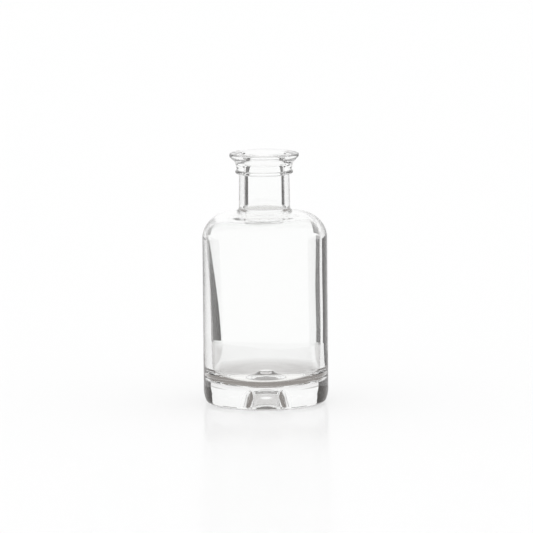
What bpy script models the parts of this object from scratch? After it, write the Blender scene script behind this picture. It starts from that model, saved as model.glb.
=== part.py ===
"""Clear glass apothecary bottle with a thick base, a push-up under it and a flared lip.

The bottle is moulded in one piece, so it is one solid: an outline turned round the bottle's axis.
Metres, +Z up. The origin is the centre of the ring that the bottle stands on.
"""

import math
from dataclasses import dataclass

import bmesh
import bpy
from mathutils import Vector

MM = 0.001

HEIGHT = 130.7 * MM  # from the surface it stands on to the rim

# Body, outside
BODY_RADIUS = 32.5 * MM
HEEL_WIDTH = 5.0 * MM  # how far the heel's curve reaches in under the body
HEEL_HEIGHT = 9.2 * MM  # how far it reaches up the wall
SHOULDER_HEIGHT = 97.0 * MM  # where the wall and the sloping shoulder would meet, unrounded
SHOULDER_ROUNDING = 13.0 * MM
SHOULDER_SLOPE = math.radians(12.0)

# Lip, collar, bead and neck, outside: heights are stacked down from the rim, depths out from the neck
NECK_WALL = 3.15 * MM
NECK_FLARE = 0.3 * MM  # extra radius at the neck's foot
NECK_FILLET = 2.6 * MM
BEAD_DEPTH = 2.0 * MM
BEAD_HEIGHT = 1.8 * MM
BEAD_ROUNDING = 0.8 * MM
COLLAR_DEPTH = 1.05 * MM
COLLAR_FLARE = 1.1 * MM
COLLAR_HEIGHT = 4.2 * MM
LIP_OVERHANG = 2.9 * MM
LIP_UNDERSIDE = math.radians(45.0)
LIP_FACE = 1.7 * MM
LIP_LOWER_ROUNDING = 1.2 * MM
LIP_UPPER_ROUNDING = 0.7 * MM

# Inside
BORE_RADIUS = 9.9 * MM
MOUTH_WIDENING = 0.7 * MM  # extra radius at the mouth, where the bore opens for its cork
MOUTH_DEPTH = 7.0 * MM
MOUTH_ROUNDING = 1.2 * MM
BORE_FLARE = 0.3 * MM  # extra radius at the bore's foot
BORE_FOOT_ROUNDING = 3.0 * MM
SHOULDER_WALL = 2.8 * MM
UPPER_WALL = 3.2 * MM
LOWER_WALL = 4.6 * MM
INNER_HEEL_ROUNDING = 8.5 * MM
FLOOR_THICKNESS = 11.6 * MM  # at the floor's lowest ring, beside the wall
FLOOR_CROWN = 1.3 * MM  # how far the floor rises towards the mound
MOUND_HEIGHT = 4.6 * MM
MOUND_FOOT_RADIUS = 10.5 * MM
MOUND_TOP_RADIUS = 3.4 * MM
MOUND_TOP_ROUNDING = 3.2 * MM
MOUND_FOOT_ROUNDING = 6.0 * MM

# Underside
BEARING_WIDTH = 3.0 * MM  # the flat ring that the bottle stands on
RECESS_DEPTH = 0.6 * MM
RECESS_BEVEL = 1.0 * MM
PUSH_UP_RADIUS = 10.2 * MM
PUSH_UP_HEIGHT = 9.6 * MM
PUSH_UP_EDGE_ROUNDING = 0.8 * MM

# Facets
TURN_STEPS = 60
ARC_TOLERANCE = 0.08 * MM  # how far a curve's facets may cut inside it
ARC_STEP_LIMIT = math.radians(36.0)
MERGE_DISTANCE = 0.01 * MM


@dataclass(frozen=True)
class Corner:
    """A corner of the outline, rounded to a radius, or by an elliptic curve with its own reach on each side."""

    radius: float
    height: float
    rounding: float = 0.0
    reach: tuple[float, float] | None = None

    @property
    def point(self):
        return Vector((self.radius, self.height))


def turn_between(before, corner, after):
    """The angle through which the outline turns at a corner."""
    return (corner - before).angle(after - corner, 0.0)


def wanted_reach(before, corner, after):
    """How far a corner's curve reaches back along the side before it and on along the side after it."""
    if corner.reach:
        return list(corner.reach)
    length = corner.rounding * math.tan(turn_between(before.point, corner.point, after.point) / 2)
    return [length, length]


def fitted_reaches(corners):
    """Each corner's reach, shortened alike at both ends of a side that is too short for its two curves."""
    reaches = [[0.0, 0.0]]
    reaches += [wanted_reach(*corners[i - 1 : i + 2]) for i in range(1, len(corners) - 1)]
    reaches += [[0.0, 0.0]]
    shares = [1.0] * len(corners)
    for i in range(len(corners) - 1):
        side = (corners[i + 1].point - corners[i].point).length
        needed = reaches[i][1] + reaches[i + 1][0]
        if needed > side:
            shares[i] = min(shares[i], side / needed)
            shares[i + 1] = min(shares[i + 1], side / needed)
    return [(back * share, on * share) for (back, on), share in zip(reaches, shares)]


def arc_steps(turn, reach):
    """How many facets keep a curve of this turn and reach within the tolerance."""
    radius = reach / math.tan(turn / 2)
    cut = min(1.0, ARC_TOLERANCE / radius)
    return math.ceil(turn / min(ARC_STEP_LIMIT, 2 * math.acos(1.0 - cut)))


def corner_curve(before, corner, after, reach):
    """The points of one rounded corner: a circular arc, or an elliptic one where its two reaches differ."""
    if max(reach) == 0.0:
        return [corner]
    start = corner + (before - corner).normalized() * reach[0]
    end = corner + (after - corner).normalized() * reach[1]
    turn = turn_between(before, corner, after)
    steps = arc_steps(turn, max(reach))
    pull = math.cos(turn / 2)
    points = []
    for i in range(steps + 1):
        t = i / steps
        shares = ((1 - t) ** 2, 2 * pull * t * (1 - t), t**2)
        blended = start * shares[0] + corner * shares[1] + end * shares[2]
        points.append(blended / sum(shares))
    return points


def rounded_outline(corners):
    """The outline through these corners, with each of them rounded."""
    reaches = fitted_reaches(corners)
    outline = [corners[0].point]
    for i in range(1, len(corners) - 1):
        before, corner, after = (c.point for c in corners[i - 1 : i + 2])
        outline += corner_curve(before, corner, after, reaches[i])
    outline.append(corners[-1].point)
    return without_repeats(outline)


def without_repeats(outline):
    """The outline with points that fall on the one before them left out."""
    kept = [outline[0]]
    for point in outline[1:]:
        if (point - kept[-1]).length > 2 * MERGE_DISTANCE:
            kept.append(point)
    return kept


def shoulder_line(radius, drop=0.0):
    """The height of the shoulder's slope at a radius, or of a line that much below it."""
    return SHOULDER_HEIGHT + (BODY_RADIUS - radius) * math.tan(SHOULDER_SLOPE) - drop


# Radii and heights that follow from the sizes
neck_top_radius = BORE_RADIUS + NECK_WALL
neck_foot_radius = neck_top_radius + NECK_FLARE
bead_radius = neck_top_radius + BEAD_DEPTH
collar_foot_radius = neck_top_radius + COLLAR_DEPTH
collar_top_radius = collar_foot_radius + COLLAR_FLARE
lip_radius = collar_top_radius + LIP_OVERHANG
mouth_radius = BORE_RADIUS + MOUTH_WIDENING
bore_foot_radius = BORE_RADIUS + BORE_FLARE
bearing_radius = BODY_RADIUS - HEEL_WIDTH

lip_face_bottom = HEIGHT - LIP_FACE
collar_top = lip_face_bottom - LIP_OVERHANG * math.tan(LIP_UNDERSIDE)
bead_top = collar_top - COLLAR_HEIGHT
bead_bottom = bead_top - BEAD_HEIGHT
neck_foot = shoulder_line(neck_foot_radius)
inner_drop = SHOULDER_WALL / math.cos(SHOULDER_SLOPE)
inner_wall_top_radius = BODY_RADIUS - UPPER_WALL
mound_foot = FLOOR_THICKNESS + FLOOR_CROWN
mound_top = mound_foot + MOUND_HEIGHT


def inside_corners():
    """From the top of the mound in the middle of the floor, up the inner wall and the bore."""
    return [
        Corner(0.0, mound_top),
        Corner(MOUND_TOP_RADIUS, mound_top, MOUND_TOP_ROUNDING),
        Corner(MOUND_FOOT_RADIUS, mound_foot, MOUND_FOOT_ROUNDING),
        Corner(BODY_RADIUS - LOWER_WALL, FLOOR_THICKNESS, INNER_HEEL_ROUNDING),
        Corner(
            inner_wall_top_radius,
            shoulder_line(inner_wall_top_radius, inner_drop),
            SHOULDER_ROUNDING - SHOULDER_WALL,
        ),
        Corner(bore_foot_radius, shoulder_line(bore_foot_radius, inner_drop), BORE_FOOT_ROUNDING),
        Corner(BORE_RADIUS, HEIGHT - MOUTH_DEPTH),
        Corner(mouth_radius, HEIGHT, MOUTH_ROUNDING),
    ]


def lip_and_neck_corners():
    """From the rim's outer edge down over the lip, collar, bead and neck."""
    return [
        Corner(lip_radius, HEIGHT, LIP_UPPER_ROUNDING),
        Corner(lip_radius, lip_face_bottom, LIP_LOWER_ROUNDING),
        Corner(collar_top_radius, collar_top),
        Corner(collar_foot_radius, bead_top),
        Corner(bead_radius, bead_top, BEAD_ROUNDING),
        Corner(bead_radius, bead_bottom, BEAD_ROUNDING),
        Corner(neck_top_radius, bead_bottom),
        Corner(neck_foot_radius, neck_foot, NECK_FILLET),
    ]


def body_corners():
    """The shoulder, the wall and the heel, down to the ring that the bottle stands on."""
    return [
        Corner(BODY_RADIUS, SHOULDER_HEIGHT, SHOULDER_ROUNDING),
        Corner(BODY_RADIUS, 0.0, reach=(HEEL_HEIGHT, HEEL_WIDTH)),
    ]


def underside_corners():
    """From the inner edge of the bearing ring to the top of the domed push-up, on the axis."""
    recess_radius = bearing_radius - BEARING_WIDTH - RECESS_BEVEL
    dome_height = PUSH_UP_HEIGHT - RECESS_DEPTH - PUSH_UP_EDGE_ROUNDING
    return [
        Corner(bearing_radius - BEARING_WIDTH, 0.0),
        Corner(recess_radius, RECESS_DEPTH),
        Corner(PUSH_UP_RADIUS, RECESS_DEPTH, PUSH_UP_EDGE_ROUNDING),
        Corner(PUSH_UP_RADIUS, PUSH_UP_HEIGHT, reach=(dome_height, PUSH_UP_RADIUS)),
        Corner(0.0, PUSH_UP_HEIGHT),
    ]


def outline_mesh(name, outline):
    """A mesh of edges along the outline, in the XZ plane."""
    shape = bmesh.new()
    points = [shape.verts.new((point.x, 0.0, point.y)) for point in outline]
    for first, second in zip(points, points[1:]):
        shape.edges.new((first, second))
    mesh = bpy.data.meshes.new(name)
    shape.to_mesh(mesh)
    shape.free()
    return mesh


def turned(name, outline, collection, material):
    """An object that turns the outline once round the Z axis."""
    turned_object = bpy.data.objects.new(name, outline_mesh(name, outline))
    turned_object.data.materials.append(material)
    collection.objects.link(turned_object)
    screw = turned_object.modifiers.new("turn", "SCREW")
    screw.axis = "Z"
    screw.angle = math.tau
    screw.steps = TURN_STEPS
    screw.render_steps = TURN_STEPS
    screw.use_merge_vertices = True
    screw.merge_threshold = MERGE_DISTANCE
    screw.use_smooth_shade = True
    return turned_object


def clear_glass():
    """Colourless bottle glass."""
    material = bpy.data.materials.new("clear_glass")
    material.use_nodes = True
    shader = material.node_tree.nodes["Principled BSDF"]
    shader.inputs["Base Color"].default_value = (0.97, 0.985, 0.98, 1.0)
    shader.inputs["Roughness"].default_value = 0.02
    shader.inputs["Metallic"].default_value = 0.0
    shader.inputs["IOR"].default_value = 1.52
    shader.inputs["Transmission Weight"].default_value = 1.0
    return material


def main():
    """Clears the scene and turns the bottle."""
    for old in list(bpy.data.objects):
        bpy.data.objects.remove(old)
    collection = bpy.data.collections.new("apothecary_bottle")
    bpy.context.scene.collection.children.link(collection)
    corners = inside_corners() + lip_and_neck_corners() + body_corners() + underside_corners()
    turned("glass_bottle", rounded_outline(corners), collection, clear_glass())


main()
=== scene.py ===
"""Looks of a clear glass apothecary bottle, with a glossy white table and a bright studio.

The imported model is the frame. One piece of glass stands for its node. It is turned in finer steps, with
an uneven inner wall, and with an inside and underside fitted to how the photograph's glass looks, which
differ from the solid's. Most of the dark bands come from the studio: its cards, table and ceiling
answer only to light that was mirrored and has crossed glass a given number of times.
"""

import logging
import math
from dataclasses import dataclass
from enum import Enum

import bmesh
import bpy
from mathutils import Matrix, Vector, noise


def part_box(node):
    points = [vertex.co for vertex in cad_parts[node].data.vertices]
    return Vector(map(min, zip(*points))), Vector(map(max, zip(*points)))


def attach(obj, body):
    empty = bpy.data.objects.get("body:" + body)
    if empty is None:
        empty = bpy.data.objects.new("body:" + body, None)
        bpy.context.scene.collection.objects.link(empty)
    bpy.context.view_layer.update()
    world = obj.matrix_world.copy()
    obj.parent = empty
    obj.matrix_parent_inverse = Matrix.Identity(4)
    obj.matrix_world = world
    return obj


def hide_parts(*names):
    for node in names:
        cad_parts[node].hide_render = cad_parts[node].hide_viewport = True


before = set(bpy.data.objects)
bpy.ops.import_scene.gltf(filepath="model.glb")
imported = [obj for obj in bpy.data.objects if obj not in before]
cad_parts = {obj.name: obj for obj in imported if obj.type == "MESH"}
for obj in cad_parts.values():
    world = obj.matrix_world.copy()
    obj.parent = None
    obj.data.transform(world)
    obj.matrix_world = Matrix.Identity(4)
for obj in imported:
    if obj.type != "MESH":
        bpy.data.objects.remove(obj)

MM = 0.001
Colour = tuple[float, float, float, float]
AXIS_FOOT = (0.0, 0.0, 0.0)
AXIS = (0.0, 0.0, 1.0)
WHITE: Colour = (1.0, 1.0, 1.0, 1.0)
log = logging.getLogger("bottle")


class Term:
    """A number inside a node tree. Sums and products of terms add the Math nodes that work them out."""

    HALF_STEP = 0.5

    def __init__(self, graph: "Graph", socket: bpy.types.NodeSocket) -> None:
        """Wraps a socket.

        Args:
            graph: The tree that the socket belongs to.
            socket: The output socket that carries the number.
        """
        self.graph = graph
        self.socket = socket

    def math(self, operation: str, *others: "Term | float", first: float | None = None) -> "Term":
        """Adds a Math node.

        Args:
            operation: The node's operation, such as "ADD".
            others: What the operation works on after this term.
            first: A number that goes before this term instead, as in 1 - mask.

        Returns:
            The result as a term.
        """
        operands = (self, *others) if first is None else (first, self)
        node = self.graph.node("ShaderNodeMath", {"operation": operation}, dict(enumerate(operands)))
        return Term(self.graph, node.outputs[0])

    def __add__(self, other: "Term | float") -> "Term":
        """This plus the other."""
        return self.math("ADD", other)

    __radd__ = __add__

    def __sub__(self, other: "Term | float") -> "Term":
        """This less the other."""
        return self.math("SUBTRACT", other)

    def __rsub__(self, other: float) -> "Term":
        """The other less this."""
        return self.math("SUBTRACT", first=other)

    def __mul__(self, other: "Term | float") -> "Term":
        """This times the other."""
        return self.math("MULTIPLY", other)

    __rmul__ = __mul__

    def __gt__(self, other: "Term | float") -> "Term":
        """1 where this is more than the other, and 0 elsewhere."""
        return self.math("GREATER_THAN", other)

    def within(self, least: int, most: int) -> "Term":
        """1 where this whole number is from the least to the most, and 0 elsewhere."""
        return (self > least - self.HALF_STEP) * (1.0 - (self > most + self.HALF_STEP))

    def capped(self) -> "Term":
        """This, or 1 where it is more."""
        return self.math("MINIMUM", 1.0)

    def eased(self, start: float, end: float) -> "Term":
        """A smooth step of this from 0 to 1.

        Args:
            start: The value at which the step leaves 0.
            end: The value at which it reaches 1.

        Returns:
            The step as a term.
        """
        node = self.graph.node(
            "ShaderNodeMapRange",
            {"interpolation_type": "SMOOTHSTEP"},
            {"Value": self, "From Min": start, "From Max": end},
        )
        return Term(self.graph, node.outputs["Result"])


class Graph:
    """A shader node tree that is built by name, with one method for every kind of node."""

    def __init__(self, owner: bpy.types.Material | bpy.types.World) -> None:
        """Empties the owner's node tree.

        Args:
            owner: The material or world whose tree is built.
        """
        owner.use_nodes = True
        self.tree = owner.node_tree
        self.tree.nodes.clear()

    def node(
        self, kind: str, settings: dict | None = None, inputs: dict | None = None
    ) -> bpy.types.Node:
        """Adds one node.

        Args:
            kind: The node's type name.
            settings: Its own settings, such as an operation.
            inputs: A value, term or output socket for each of its input sockets, by name or number.

        Returns:
            The new node.
        """
        made = self.tree.nodes.new(kind)
        for name, value in (settings or {}).items():
            setattr(made, name, value)
        for name, value in (inputs or {}).items():
            if isinstance(value, Term):
                value = value.socket
            if isinstance(value, bpy.types.NodeSocket):
                self.tree.links.new(value, made.inputs[name])
            else:
                made.inputs[name].default_value = value
        return made

    def term(self, node: bpy.types.Node, output: str | int = 0) -> Term:
        """One output of a node, as a term."""
        return Term(self, node.outputs[output])

    def finish(self, kind: str, shader: bpy.types.NodeSocket) -> None:
        """Adds the output node and links the shader to its surface.

        Args:
            kind: The output node's type name.
            shader: The shader socket that it shows.
        """
        self.node(kind, inputs={"Surface": shader})


class Ray(Enum):
    """The kinds of ray that the white surroundings answer to."""

    CAMERA = "Is Camera Ray"
    GLOSSY = "Is Glossy Ray"
    TRANSMISSION = "Is Transmission Ray"


def seen_by(graph: Graph, *kinds: Ray) -> Term:
    """A term that is 1 for these kinds of ray and 0 for the others.

    Args:
        graph: The tree that needs it.
        kinds: The kinds of ray.

    Returns:
        The term.
    """
    path = graph.node("ShaderNodeLightPath")
    total = graph.term(path, kinds[0].value)
    for kind in kinds[1:]:
        total = total + graph.term(path, kind.value)
    return total.capped()


@dataclass(frozen=True)
class ClearGlass:
    """Bottle glass with the faint waves that its mould leaves, and painted shade where it is seen
    edge-on.

    The edge colour is painted shade, which clear glass doesn't have. It draws the bottle's dark outline
    in the base colour, and fades out where the glass lies nearly level.
    """

    colour: Colour = (0.99, 0.993, 0.99, 1.0)
    # Painted shade: the dark colour of the outline where the glass is seen edge-on.
    painted_edge_shade: Colour = (0.15, 0.135, 0.13, 1.0)
    edge_start: float = 0.6
    edge_full: float = 0.9
    level_start: float = 0.55
    level_full: float = 0.92
    ior: float = 1.52
    roughness: float = 0.0
    wave_size: float = 11 * MM
    wave_depth: float = 0.010 * MM
    dimple_size: float = 2.6 * MM
    wave_detail: float = 1.0
    dimple_depth: float = 0.0006 * MM
    dimple_detail: float = 2.0

    def material(self, name: str) -> bpy.types.Material:
        """Builds the material.

        Args:
            name: The material's name.

        Returns:
            The new material.
        """
        made = bpy.data.materials.new(name)
        graph = Graph(made)
        place = graph.node("ShaderNodeTexCoord").outputs["Object"]
        height = self._noise(graph, place, self.wave_size, self.wave_detail)
        waves = self._bump(graph, height, self.wave_depth, None)
        height = self._noise(graph, place, self.dimple_size, self.dimple_detail)
        dimples = self._bump(graph, height, self.dimple_depth, waves)
        # Painted shade: the base colour turns dark where the glass is seen edge-on, less where it lies
        # nearly level.
        facing = graph.term(graph.node("ShaderNodeLayerWeight"), "Facing")
        facing = facing.eased(self.edge_start, self.edge_full)
        normal = graph.node("ShaderNodeTexCoord").outputs["Normal"]
        slope = graph.term(graph.node("ShaderNodeSeparateXYZ", inputs={0: normal}), 2).math("ABSOLUTE")
        edge = facing * (1.0 - slope.eased(self.level_start, self.level_full))
        colour = graph.node(
            "ShaderNodeMix",
            {"data_type": "RGBA"},
            {"Factor": edge, "A": self.colour, "B": self.painted_edge_shade},
        )
        shader = graph.node(
            "ShaderNodeBsdfPrincipled",
            inputs={
                "Base Color": colour.outputs["Result"],
                "Roughness": self.roughness,
                "IOR": self.ior,
                "Transmission Weight": 1.0,
                "Normal": dimples,
            },
        )
        graph.finish("ShaderNodeOutputMaterial", shader.outputs[0])
        return made

    @staticmethod
    def _noise(graph: Graph, place: bpy.types.NodeSocket, size: float, detail: float) -> Term:
        """Smooth noise whose features are about this size."""
        inputs = {"Vector": place, "Scale": 1 / size, "Detail": detail}
        return graph.term(graph.node("ShaderNodeTexNoise", inputs=inputs), "Fac")

    @staticmethod
    def _bump(
        graph: Graph, height: Term, depth: float, under: bpy.types.NodeSocket | None
    ) -> bpy.types.NodeSocket:
        """A bump of this depth, laid over another one if there is one."""
        inputs = {"Strength": 1.0, "Distance": depth, "Height": height}
        if under:
            inputs["Normal"] = under
        return graph.node("ShaderNodeBump", inputs=inputs).outputs["Normal"]


@dataclass(frozen=True)
class Corner:
    """A corner of the glass's outline, and the radius to which it is rounded."""

    radius: float
    height: float
    rounding: float = 0.0

    @property
    def point(self) -> Vector:
        """Where the corner is, in the plane that is turned."""
        return Vector((self.radius, 0.0, self.height))


@dataclass(frozen=True)
class Lathe:
    """Turns an outline round the bottle's axis."""

    steps: int = 180
    stretch: float = 1.6 * MM
    facet: float = math.radians(5.0)
    least_facets: int = 2
    merge: float = 0.002 * MM

    def draw(self, shape: bmesh.types.BMesh, corners: list[Corner]) -> None:
        """Draws an outline as a chain of short edges with rounded corners.

        Args:
            shape: The mesh that takes the chain.
            corners: The outline's corners, in order.
        """
        verts = [shape.verts.new(corner.point) for corner in corners]
        for first, second in zip(verts, verts[1:]):
            shape.edges.new((first, second))
        for vert, (back, corner, on) in zip(verts[1:-1], zip(corners, corners[1:], corners[2:])):
            if corner.rounding:
                turn = (corner.point - back.point).angle(on.point - corner.point)
                bmesh.ops.bevel(
                    shape,
                    geom=[vert],
                    offset=corner.rounding * math.tan(turn / 2),
                    offset_type="OFFSET",
                    segments=max(self.least_facets, math.ceil(turn / self.facet)),
                    profile=0.5,
                    affect="VERTICES",
                    material=-1,
                )
        for edge in shape.edges[:]:
            cuts = int(edge.calc_length() / self.stretch)
            if cuts:
                bmesh.ops.subdivide_edges(shape, edges=[edge], cuts=cuts)

    def turn(self, shape: bmesh.types.BMesh) -> None:
        """Joins the chains, and turns them once round the axis.

        Args:
            shape: The mesh that holds the chains and takes the surface.
        """
        bmesh.ops.remove_doubles(shape, verts=shape.verts, dist=self.merge)
        bmesh.ops.spin(
            shape,
            geom=shape.verts[:] + shape.edges[:],
            cent=AXIS_FOOT,
            axis=AXIS,
            angle=math.tau,
            steps=self.steps,
            use_merge=True,
        )
        bmesh.ops.remove_doubles(shape, verts=shape.verts, dist=self.merge)
        bmesh.ops.recalc_face_normals(shape, faces=shape.faces)


@dataclass(frozen=True)
class Outside:
    """The bottle's outer skin: lip, collar, bead, neck, shoulder, wall, heel and underside.

    The underside isn't visible in the photograph, so its sizes are guessed from what shows through.
    """

    height: float
    body_radius: float
    neck_radius: float = 13.05 * MM
    neck_flare: float = 0.3 * MM
    neck_fillet: float = 1.8 * MM
    bead_depth: float = 2.0 * MM
    bead_height: float = 1.8 * MM
    bead_rounding: float = 0.85 * MM
    collar_depth: float = 1.05 * MM
    collar_flare: float = 1.1 * MM
    collar_height: float = 4.2 * MM
    lip_overhang: float = 2.9 * MM
    lip_face: float = 1.7 * MM
    lip_lower_rounding: float = 1.2 * MM
    lip_upper_rounding: float = 0.7 * MM
    crease: float = 0.3 * MM
    shoulder_height: float = 97.0 * MM
    shoulder_rounding: float = 13.0 * MM
    shoulder_slope: float = math.radians(12.0)
    heel_height: float = 4.4 * MM
    heel_step: float = 1.9 * MM
    heel_upper_rounding: float = 13.0 * MM
    heel_lower_rounding: float = 3.0 * MM
    bearing_width: float = 3.0 * MM
    heel_width: float = 5.0 * MM
    recess_depth: float = 0.6 * MM
    recess_bevel: float = 1.0 * MM
    push_up_radius: float = 10.2 * MM
    push_up_height: float = 8.8 * MM
    push_up_top: float = 6.2 * MM
    push_up_rounding: float = 1.6 * MM
    push_up_edge: float = 0.8 * MM
    push_up_dome: float = 0.8 * MM

    def shoulder_line(self, radius: float, drop: float = 0.0) -> float:
        """The height of the shoulder's slope at a radius.

        Args:
            radius: Distance from the axis.
            drop: How far below the slope the line lies.

        Returns:
            The height.
        """
        rise = (self.body_radius - radius) * math.tan(self.shoulder_slope)
        return self.shoulder_height + rise - drop

    def corners(self) -> list[Corner]:
        """The whole outer outline, from the rim down and in to the axis."""
        return self.finish_corners() + self.body_corners() + self.underside_corners()

    def finish_corners(self) -> list[Corner]:
        """The lip, collar, bead and neck, from the rim down."""
        lip_bottom = self.height - self.lip_face
        collar_radius = self.neck_radius + self.collar_depth
        collar_top = lip_bottom - self.lip_overhang
        bead_top = collar_top - self.collar_height
        bead_radius = self.neck_radius + self.bead_depth
        bead_bottom = bead_top - self.bead_height
        lip_radius = collar_radius + self.collar_flare + self.lip_overhang
        foot = self.neck_radius + self.neck_flare
        return [
            Corner(lip_radius, self.height, self.lip_upper_rounding),
            Corner(lip_radius, lip_bottom, self.lip_lower_rounding),
            Corner(collar_radius + self.collar_flare, collar_top, self.crease),
            Corner(collar_radius, bead_top, self.crease),
            Corner(bead_radius, bead_top, self.bead_rounding),
            Corner(bead_radius, bead_bottom, self.bead_rounding),
            Corner(self.neck_radius, bead_bottom, self.crease),
            Corner(foot, self.shoulder_line(foot), self.neck_fillet),
        ]

    def body_corners(self) -> list[Corner]:
        """The shoulder, wall and heel."""
        return [
            Corner(self.body_radius, self.shoulder_height, self.shoulder_rounding),
            Corner(self.body_radius, self.heel_height, self.heel_upper_rounding),
            Corner(self.body_radius - self.heel_step, 0.0, self.heel_lower_rounding),
        ]

    def underside_corners(self) -> list[Corner]:
        """The bearing ring, the recess inside it and the push-up, in to the axis."""
        bearing = self.body_radius - self.heel_width - self.bearing_width
        return [
            Corner(bearing, 0.0),
            Corner(bearing - self.recess_bevel, self.recess_depth),
            Corner(self.push_up_radius, self.recess_depth, self.push_up_edge),
            Corner(self.push_up_top, self.push_up_height - self.push_up_dome, self.push_up_rounding),
            Corner(0.0, self.push_up_height),
        ]


@dataclass(frozen=True)
class Inside:
    """The bottle's inner skin: mouth, bore, shoulder, wall, floor and the mound over the push-up."""

    outside: Outside
    bore_radius: float = 10.45 * MM
    mouth_widening: float = 0.65 * MM
    mouth_step: float = 0.45 * MM
    mouth_depth: float = 5.0 * MM
    mouth_rounding: float = 1.2 * MM
    bore_flare: float = 0.3 * MM
    bore_foot_rounding: float = 1.6 * MM
    shoulder_wall: float = 2.8 * MM
    upper_wall: float = 3.2 * MM
    lower_wall: float = 4.6 * MM
    heel_rounding: float = 8.5 * MM
    floor_thickness: float = 10.5 * MM
    floor_crown: float = 1.3 * MM
    mound_height: float = 4.6 * MM
    mound_foot: float = 9.4 * MM
    mound_top: float = 3.2 * MM
    mound_top_rounding: float = 1.6 * MM
    mound_foot_rounding: float = 1.8 * MM
    lean_heights: tuple[float, float] = (25.0 * MM, 100.0 * MM)
    swell_heights: tuple[float, float] = (55.0 * MM, 95.0 * MM)
    lean_radius: float = 12.0 * MM
    low_lean: float = 0.3 * MM
    high_lean: float = -1.0 * MM
    low_swell: float = 0.3 * MM
    high_swell: float = 1.1 * MM
    ripple_size: float = 26 * MM
    ripple: float = 0.08 * MM
    even_height: float = 7 * MM

    def corners(self) -> list[Corner]:
        """From the top of the mound, up the wall and the bore, to the mouth's rounded edge."""
        out = self.outside
        drop = self.shoulder_wall / math.cos(out.shoulder_slope)
        wall_top = out.body_radius - self.upper_wall
        bore_foot = self.bore_radius + self.bore_flare
        crown = self.floor_thickness + self.floor_crown
        shoulder_rounding = out.shoulder_rounding - self.shoulder_wall
        step_height = out.height - self.mouth_depth
        return [
            Corner(0.0, crown + self.mound_height),
            Corner(self.mound_top, crown + self.mound_height, self.mound_top_rounding),
            Corner(self.mound_foot, crown, self.mound_foot_rounding),
            Corner(out.body_radius - self.lower_wall, self.floor_thickness, self.heel_rounding),
            Corner(wall_top, out.shoulder_line(wall_top, drop), shoulder_rounding),
            Corner(bore_foot, out.shoulder_line(bore_foot, drop), self.bore_foot_rounding),
            Corner(self.bore_radius, step_height),
            Corner(self.bore_radius + self.mouth_step, step_height + self.mouth_step),
            Corner(self.bore_radius + self.mouth_widening, out.height, self.mouth_rounding),
        ]

    def settle(self, verts: list[bmesh.types.BMVert]) -> None:
        """Makes the wall uneven, as moulded glass is: it leans over its height, with a slow ripple.

        Args:
            verts: The inner skin. Only its part between floor and bore moves.
        """
        for vert in verts:
            radius = vert.co.xy.length
            side = (radius - self.lean_radius) / (self.outside.body_radius - self.lean_radius)
            if side <= 0:
                continue
            height = vert.co.z
            rise = eased(height, *self.lean_heights)
            lean = self.low_lean + (self.high_lean - self.low_lean) * rise
            swelling = eased(height, *self.swell_heights)
            swell = self.low_swell + (self.high_swell - self.low_swell) * swelling
            swell += noise.noise(vert.co / self.ripple_size) * self.ripple
            even_top = self.floor_thickness + self.even_height
            side *= side * eased(height, self.floor_thickness, even_top)
            vert.co.xy += vert.co.xy / radius * swell * side
            vert.co.x += lean * side


def eased(value: float, start: float, end: float) -> float:
    """A smooth step of a number, from 0 at the start to 1 at the end."""
    share = max(0.0, min(1.0, (value - start) / (end - start)))
    return share * share * (3 - 2 * share)


def new_object(name: str, shape: bmesh.types.BMesh, material: bpy.types.Material) -> bpy.types.Object:
    """Makes a shape an object of the scene.

    Args:
        name: The object's name.
        shape: Its mesh, which is freed.
        material: Its material.

    Returns:
        The new object.
    """
    mesh = bpy.data.meshes.new(name)
    shape.to_mesh(mesh)
    shape.free()
    mesh.materials.append(material)
    made = bpy.data.objects.new(name, mesh)
    bpy.context.scene.collection.objects.link(made)
    return made


class GlassBottle:
    """The whole bottle, one piece of glass, which stands for the frame's only node.

    The clearance keeps the finer mesh inside the node's box.
    """

    NODE = "glass_bottle"
    CLEARANCE = 0.001 * MM

    def __init__(self) -> None:
        """Takes the bottle's height and width from the frame."""
        low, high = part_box(self.NODE)
        self.outside = Outside(height=high[2], body_radius=(high[0] - low[0]) / 2 - self.CLEARANCE)
        self.inside = Inside(self.outside)
        self.lathe = Lathe()
        self.glass = ClearGlass()

    def rim(self) -> Corner:
        """The middle of the rim's flat top, where the two skins meet."""
        outer = self.outside.corners()[0].radius
        return Corner((self.inside.corners()[-1].radius + outer) / 2, self.outside.height)

    def build(self) -> bpy.types.Object:
        """Turns both skins, joins them at the rim and dresses the piece.

        Returns:
            The bottle.
        """
        shape = bmesh.new()
        lining = shape.verts.layers.int.new("lining")
        self.lathe.draw(shape, self.inside.corners() + [self.rim()])
        for vert in shape.verts:
            vert[lining] = 1
        self.lathe.draw(shape, [self.rim()] + self.outside.corners())
        self.lathe.turn(shape)
        self.inside.settle([vert for vert in shape.verts if vert[lining]])
        for face in shape.faces:
            face.smooth = True
        bottle = new_object("bottle_glass", shape, self.glass.material("clear_bottle_glass"))
        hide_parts(self.NODE)
        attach(bottle, "root")
        return bottle


class Light(Enum):
    """Light that has passed through the glass, sorted by its path.

    Each kind is the least and most mirrorings, and then the least and most surfaces crossed. Real light
    isn't sorted so. It lets one card darken a band of the glass and leave the rest clear.
    """

    LINED = (0, 0, 3, 24)
    BENT = (0, 0, 1, 24)
    SOLID = (0, 0, 1, 2)
    MIRRORED = (1, 24, 1, 2)
    OFTEN = (3, 24, 1, 2)
    GLANCED = (1, 1, 3, 24)
    TRAPPED = (2, 4, 1, 4)

    def share(self, graph: Graph) -> Term:
        """A term that is 1 for this light and 0 for all other.

        Args:
            graph: The tree that needs it.

        Returns:
            The term.
        """
        path = graph.node("ShaderNodeLightPath")
        mirrored = graph.term(path, "Glossy Depth")
        crossed = graph.term(path, "Transmission Depth")
        few_mirrored, most_mirrored, few_crossed, most_crossed = self.value
        mirrored = mirrored.within(few_mirrored, most_mirrored)
        return mirrored * crossed.within(few_crossed, most_crossed)


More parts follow.
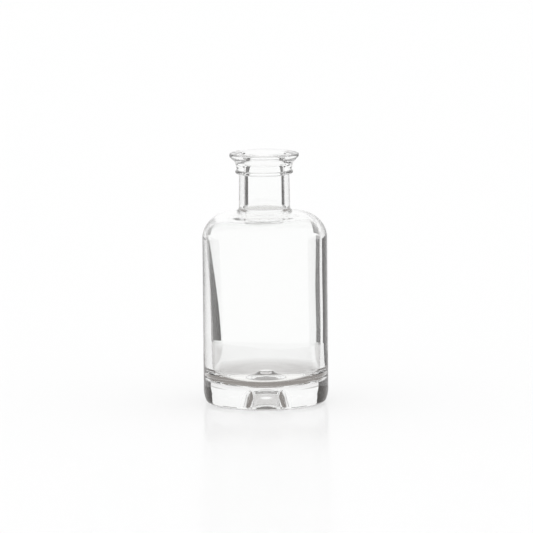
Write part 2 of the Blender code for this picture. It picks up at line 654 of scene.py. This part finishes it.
@dataclass(frozen=True)
class DarkCard:
    """The black of the studio's cards. Light that a card isn't meant for passes it."""

    light: Light
    colour: Colour = (0.012, 0.008, 0.006, 1.0)

    def material(self) -> bpy.types.Material:
        """Black for the card's own light, and clear for the rest."""
        made = bpy.data.materials.new(f"dark_card_{self.light.name.lower()}")
        graph = Graph(made)
        card = graph.node("ShaderNodeEmission", inputs={"Color": self.colour})
        clear = graph.node("ShaderNodeBsdfTransparent")
        inputs = {0: self.light.share(graph), 1: clear.outputs[0], 2: card.outputs[0]}
        both = graph.node("ShaderNodeMixShader", inputs=inputs)
        graph.finish("ShaderNodeOutputMaterial", both.outputs[0])
        return made


@dataclass(frozen=True)
class Table:
    """A glossy white table top that the bottle stands on.

    The camera sees it white. Light that came through the glass meets shades painted on it by place:
    rings round the bottle, and two strips behind its left and right sides that serve the front view.
    """

    near_radius: float = 0.188
    far_radius: float = 12.0
    colour: Colour = (0.9, 0.9, 0.9, 1.0)
    white: Colour = (1.06, 1.06, 1.06, 1.0)
    # Painted shadow for light through the glass: a dark spot under the push-up, with the table left white
    # round it under the bottle.
    under: Colour = (1.0, 0.99, 0.975, 1.0)
    painted_hollow_shadow: Colour = (0.33, 0.32, 0.315, 1.0)
    hollow_start: float = 0.009
    hollow_end: float = 0.012
    under_start: float = 0.018
    under_end: float = 0.027
    # Painted shadow: a grey ring round the bottle that fades out to the far level.
    shaded: Colour = (0.68, 0.668, 0.662, 1.0)
    shade_start: float = 0.026
    shade_end: float = 0.135
    beyond: Colour = (0.96, 0.96, 0.96, 1.0)
    # Painted shade: grey strips behind the bottle's left and right sides, for light through the glass.
    side: Colour = (0.62, 0.61, 0.605, 1.0)
    left_side: float = 0.049
    right_side: float = 0.045
    right_slant: float = 0.1
    side_fade: float = 0.006
    side_far_fade: float = 0.03
    side_width: float = 0.038
    side_near: float = 0.036
    side_far: float = 0.15
    # Painted shade that only light mirrored in the glass meets: dim near the middle, unlit further to the
    # sides.
    dim: Colour = (0.29, 0.27, 0.255, 1.0)
    unlit: Colour = (0.05, 0.04, 0.035, 1.0)
    unlit_start: float = 0.024
    unlit_end: float = 0.052
    mirrored_front: float = 0.006
    mirrored_back: float = 0.016
    mirrored_start: float = 0.068
    mirrored_end: float = 0.088
    own_light: float = 0.6
    gloss: float = 0.18
    gloss_roughness: float = 0.15
    disc_steps: int = 96
    disc_merge: float = 0.1 * MM

    def material(self) -> bpy.types.Material:
        """White for the camera, with the bottle's soft shadow and a faint mirror image in it. Glossy rays
        and light through the glass see the painted shades instead.
        """
        made = bpy.data.materials.new("white_table_top")
        graph = Graph(made)
        through = seen_by(graph, Ray.TRANSMISSION)
        place = graph.node("ShaderNodeTexCoord").outputs["Object"]
        length = graph.node("ShaderNodeVectorMath", {"operation": "LENGTH"}, {0: place})
        distance = graph.term(length, "Value")
        parts = graph.node("ShaderNodeSeparateXYZ", inputs={0: place})
        across = graph.term(parts, 0)
        # Painted shadow ring round the bottle, for light through the glass.
        past_shade = distance.eased(self.shade_start, self.shade_end)
        lined = self._mixed(graph, past_shade, self.shaded, self.beyond)
        # Painted shadow under the push-up, and the table left white round it under the bottle.
        past_hollow = distance.eased(self.hollow_start, self.hollow_end)
        under = self._mixed(graph, past_hollow, self.painted_hollow_shadow, self.under)
        past_foot = distance.eased(self.under_start, self.under_end)
        lined = self._mixed(graph, past_foot, under, lined)
        back = graph.term(parts, 1)
        # Painted shade strips behind the bottle's left and right sides.
        left = self._strip(across * -1.0, self.left_side, self.left_side + self.side_width)
        slant = across - back * self.right_slant
        right = self._strip(slant, self.right_side, self.right_side + self.side_width)
        sides = left.math("MAXIMUM", right) * self._strip(back, self.side_near, self.side_far)
        lined = self._mixed(graph, sides, lined, self.side)
        # Painted shade for mirrored light: dark in front of the bottle, close to it at the sides, and for
        # light mirrored three times or more.
        away = across.math("ABSOLUTE").eased(self.unlit_start, self.unlit_end)
        dim = self._mixed(graph, away, self.dim, self.unlit)
        front = 1.0 - back.eased(self.mirrored_front, self.mirrored_back)
        near = away * (1.0 - distance.eased(self.mirrored_start, self.mirrored_end))
        shade = front.math("MAXIMUM", near).math("MAXIMUM", Light.OFTEN.share(graph))
        mirrored = self._mixed(graph, shade, self.beyond, dim)
        colour = self._mixed(graph, Light.MIRRORED.share(graph), lined, mirrored)
        # Glossy rays and light through the glass see the painted shades and shadows. Other rays see plain
        # white.
        colour = self._mixed(graph, seen_by(graph, Ray.TRANSMISSION, Ray.GLOSSY), self.white, colour)
        glow = graph.node("ShaderNodeEmission", inputs={"Color": colour})
        matt = graph.node("ShaderNodeBsdfDiffuse", inputs={"Color": self.colour})
        shine = graph.node(
            "ShaderNodeBsdfGlossy",
            inputs={"Color": WHITE, "Roughness": self.gloss_roughness},
        )
        share = seen_by(graph, Ray.CAMERA, Ray.GLOSSY) * self.own_light + through
        inputs = {0: share, 1: matt.outputs[0], 2: glow.outputs[0]}
        base = graph.node("ShaderNodeMixShader", inputs=inputs)
        shown = seen_by(graph, Ray.CAMERA) * self.gloss
        inputs = {0: shown, 1: base.outputs[0], 2: shine.outputs[0]}
        top = graph.node("ShaderNodeMixShader", inputs=inputs)
        graph.finish("ShaderNodeOutputMaterial", top.outputs[0])
        return made

    def _strip(self, place: Term, start: float, end: float) -> Term:
        """1 where a place on the table is from the start to the end of a strip, fading to 0 outside."""
        beyond = place.eased(end, end + self.side_far_fade)
        return place.eased(start, start + self.side_fade) * (1.0 - beyond)

    @staticmethod
    def _mixed(graph: Graph, share: Term, first: object, second: object) -> bpy.types.NodeSocket:
        """A mix of two colours, each a colour or a socket, by a share of the second."""
        settings = {"data_type": "RGBA"}
        node = graph.node("ShaderNodeMix", settings, {"Factor": share, "A": first, "B": second})
        return node.outputs["Result"]

    def build(self) -> None:
        """Lays the table top as a disc under the bottle and a wide ring round it."""
        white = self.material()
        near = self._disc("table_near", 0.0, self.near_radius, white)
        far = self._disc("table_far", self.near_radius, self.far_radius, white)
        far.visible_transmission = False
        far.visible_glossy = False
        for piece in (near, far):
            log.info("%s: %d faces", piece.name, len(piece.data.polygons))

    def _disc(
        self, name: str, inner: float, outer: float, material: bpy.types.Material
    ) -> bpy.types.Object:
        """Makes a flat disc or ring at the height of the bottle's base.

        Args:
            name: Its name.
            inner: Its inner radius, 0 for a disc.
            outer: Its outer radius.
            material: Its material.

        Returns:
            The new object.
        """
        shape = bmesh.new()
        verts = [shape.verts.new((radius, 0.0, 0.0)) for radius in (inner, outer)]
        edge = shape.edges.new(verts)
        bmesh.ops.spin(
            shape,
            geom=verts + [edge],
            cent=AXIS_FOOT,
            axis=AXIS,
            angle=math.tau,
            steps=self.disc_steps,
            use_merge=True,
        )
        bmesh.ops.remove_doubles(shape, verts=shape.verts, dist=self.disc_merge)
        bmesh.ops.recalc_face_normals(shape, faces=shape.faces)
        if shape.faces[:][0].normal.z < 0:
            bmesh.ops.reverse_faces(shape, faces=shape.faces)
        return new_object(name, shape, material)


@dataclass(frozen=True)
class Flags:
    """Dark cards that stand all round the table and give clear glass its inner edges.

    A card's outline is a list of heights, each with the angles from its middle to its right and left
    sides there.
    """

    name: str
    distance: float
    outline: tuple[tuple[float, float, float], ...]
    middle: float
    count: int = 8

    def build(self, material: bpy.types.Material) -> None:
        """Cuts one card and repeats it round the table.

        Args:
            material: The cards' material.
        """
        shape = bmesh.new()
        right = [(self._across(to_right), up) for up, to_right, _ in self.outline]
        left = [(-self._across(to_left), up) for up, _, to_left in self.outline]
        verts = [shape.verts.new((across, self.distance, up)) for across, up in right + left[::-1]]
        card = shape.faces.new(verts)
        turn = Matrix.Rotation(-math.radians(self.middle), 3, "Z")
        bmesh.ops.rotate(shape, verts=verts, cent=AXIS_FOOT, matrix=turn)
        bmesh.ops.spin(
            shape,
            geom=[card],
            cent=AXIS_FOOT,
            axis=AXIS,
            angle=math.tau * (1 - 1 / self.count),
            steps=self.count - 1,
            use_duplicate=True,
        )
        stand(new_object(self.name, shape, material))

    def _across(self, angle: float) -> float:
        """How far from the card's middle an angle in degrees reaches."""
        return self.distance * math.tan(math.radians(angle))


FLAGS = {
    Light.LINED: (
        Flags(
            "body_cards",
            distance=0.6,
            outline=(
                (-0.12, 7.6, 7.0),
                (-0.058, 7.0, 7.0),
                (-0.046, 6.0, 7.0),
                (-0.031, 4.8, 7.0),
                (-0.010, 5.2, 7.0),
                (0.001, 7.0, 7.0),
                (0.008, 7.0, 7.0),
            ),
            middle=25.0,
        ),
    ),
    Light.BENT: (
        Flags("neck_cards", distance=0.25, outline=((0.067, 6.5, 6.5), (0.22, 6.5, 6.5)), middle=24.0),
    ),
}


@dataclass(frozen=True)
class Wing:
    """A dark board bent round the bottle, seen in the mirror images that the glass makes.

    Its section runs between two points, each a distance from the axis and a height. The boards that
    don't go all the way round are placed for the photograph's own view.
    """

    name: str
    section: tuple[tuple[float, float], tuple[float, float]]
    inner: float
    outer: float
    steps: int = 12

    def build(self, material: bpy.types.Material) -> None:
        """Bends the board round the bottle.

        Args:
            material: The board's material.
        """
        shape = bmesh.new()
        verts = [shape.verts.new((0.0, distance, height)) for distance, height in self.section]
        edge = shape.edges.new(verts)
        turn = Matrix.Rotation(-math.radians(self.inner), 3, "Z")
        bmesh.ops.rotate(shape, verts=verts, cent=AXIS_FOOT, matrix=turn)
        bmesh.ops.spin(
            shape,
            geom=verts + [edge],
            cent=AXIS_FOOT,
            axis=AXIS,
            angle=-math.radians(self.outer - self.inner),
            steps=self.steps,
        )
        stand(new_object(self.name, shape, material))


WINGS = {
    Light.MIRRORED: (
        Wing("left_wing", ((0.6, -0.040), (0.6, -0.004)), -4.0, -38.0),
        Wing("right_wing", ((0.6, -0.150), (0.6, 0.005)), 4.0, 38.0),
        Wing("right_table_wing", ((0.085, 0.0004), (0.187, 0.0004)), 10.0, 41.0),
        Wing("left_low_wing", ((0.6, -0.130), (0.6, 0.020)), -50.0, -86.0),
        Wing("right_low_wing", ((0.6, -0.130), (0.6, 0.020)), 49.0, 86.0),
        Wing("left_high_wing", ((0.6, 0.020), (0.6, 0.140)), -60.0, -86.0),
        Wing("right_high_wing", ((0.6, 0.020), (0.6, 0.140)), 60.0, 86.0),
    ),
    Light.SOLID: (
        Wing("right_heel_card", ((0.05, 0.0005), (0.05, 0.028)), -14.0, -44.0),
        Wing("left_heel_card", ((0.05, 0.0005), (0.05, 0.028)), 18.0, 44.0),
    ),
    Light.OFTEN: (Wing("low_ring", ((0.188, 0.0), (1.2, 0.0)), 0.0, 359.0, steps=72),),
    Light.TRAPPED: (
        Wing("front_board", ((0.186, 0.0), (0.186, 0.35)), 95.0, 265.0, steps=36),
        Wing("shoulder_card", ((0.034, 0.1), (0.085, 0.1)), 0.0, 359.0, steps=72),
    ),
}


def stand(card: bpy.types.Object) -> None:
    """Makes a card part of the studio. The camera doesn't see it, and it throws no shadow."""
    card.visible_camera = False
    card.visible_diffuse = False
    card.visible_shadow = False
    log.info("%s: %d faces", card.name, len(card.data.polygons))


@dataclass(frozen=True)
class Surroundings:
    """A white studio all round, with a dark ceiling that only bent light meets."""

    ceiling_start: float = math.sin(math.radians(30))
    ceiling_full: float = math.sin(math.radians(40))
    ceiling: Colour = (0.16, 0.15, 0.145, 1.0)

    def build(self) -> None:
        """Makes the world white, with the ceiling in it."""
        world = bpy.data.worlds.new("white_studio")
        graph = Graph(world)
        place = graph.node("ShaderNodeTexCoord").outputs["Generated"]
        up = graph.term(graph.node("ShaderNodeSeparateXYZ", inputs={0: place}), 2)
        bent = Light.BENT.share(graph) + Light.GLANCED.share(graph)
        above = up.eased(self.ceiling_start, self.ceiling_full)
        share = above * seen_by(graph, Ray.TRANSMISSION) * bent
        white = graph.node("ShaderNodeBackground", inputs={"Color": WHITE})
        dark = graph.node("ShaderNodeBackground", inputs={"Color": self.ceiling})
        inputs = {0: share, 1: white.outputs[0], 2: dark.outputs[0]}
        both = graph.node("ShaderNodeMixShader", inputs=inputs)
        graph.finish("ShaderNodeOutputWorld", both.outputs[0])
        bpy.context.scene.world = world


@dataclass(frozen=True)
class Viewpoint:
    """The photograph's camera: a long lens, a little above the bottle."""

    distance: float = 4.0
    elevation: float = math.radians(8.0)
    roll: float = math.radians(0.5)
    aim: tuple[float, float, float] = (0.78 * MM, 0.0, 71.2 * MM)
    image_pixels: int = 533
    pixels_per_metre: float = 1923.0
    sensor: float = 36.0
    nearest: float = 0.1
    farthest: float = 100.0

    def build(self) -> None:
        """Places the camera and makes it the scene's."""
        data = bpy.data.cameras.new("camera")
        data.sensor_width = self.sensor
        data.lens = self.sensor * self.distance * self.pixels_per_metre / self.image_pixels
        data.clip_start = self.nearest
        data.clip_end = self.farthest
        camera = bpy.data.objects.new("camera", data)
        bpy.context.scene.collection.objects.link(camera)
        back = Vector((0.0, -math.cos(self.elevation), math.sin(self.elevation)))
        camera.location = Vector(self.aim) + back * self.distance
        level = (-back).to_track_quat("-Z", "Y").to_matrix()
        camera.rotation_euler = (level @ Matrix.Rotation(-self.roll, 3, "Z")).to_euler()
        bpy.context.scene.camera = camera


@dataclass(frozen=True)
class Bounces:
    """The plain view transform, and enough light bounces for thick glass."""

    total: int = 24
    mirrored: int = 16
    through_glass: int = 24
    past_cards: int = 8

    def set(self) -> None:
        """Sets the scene to them."""
        scene = bpy.context.scene
        scene.view_settings.view_transform = "Standard"
        scene.cycles.max_bounces = self.total
        scene.cycles.glossy_bounces = self.mirrored
        scene.cycles.transmission_bounces = self.through_glass
        scene.cycles.transparent_max_bounces = self.past_cards


def main() -> None:
    """Builds the bottle, its table, the studio and the camera."""
    logging.basicConfig(level=logging.INFO, format="%(message)s")
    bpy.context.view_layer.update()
    bottle = GlassBottle().build()
    log.info("%s: %d faces", bottle.name, len(bottle.data.polygons))
    Table().build()
    for light, flags in FLAGS.items():
        card = DarkCard(light).material()
        for flag in flags:
            flag.build(card)
    for light, wings in WINGS.items():
        card = DarkCard(light).material()
        for wing in wings:
            wing.build(card)
    Surroundings().build()
    Viewpoint().build()
    Bounces().set()


if __name__ == "__main__":
    main()
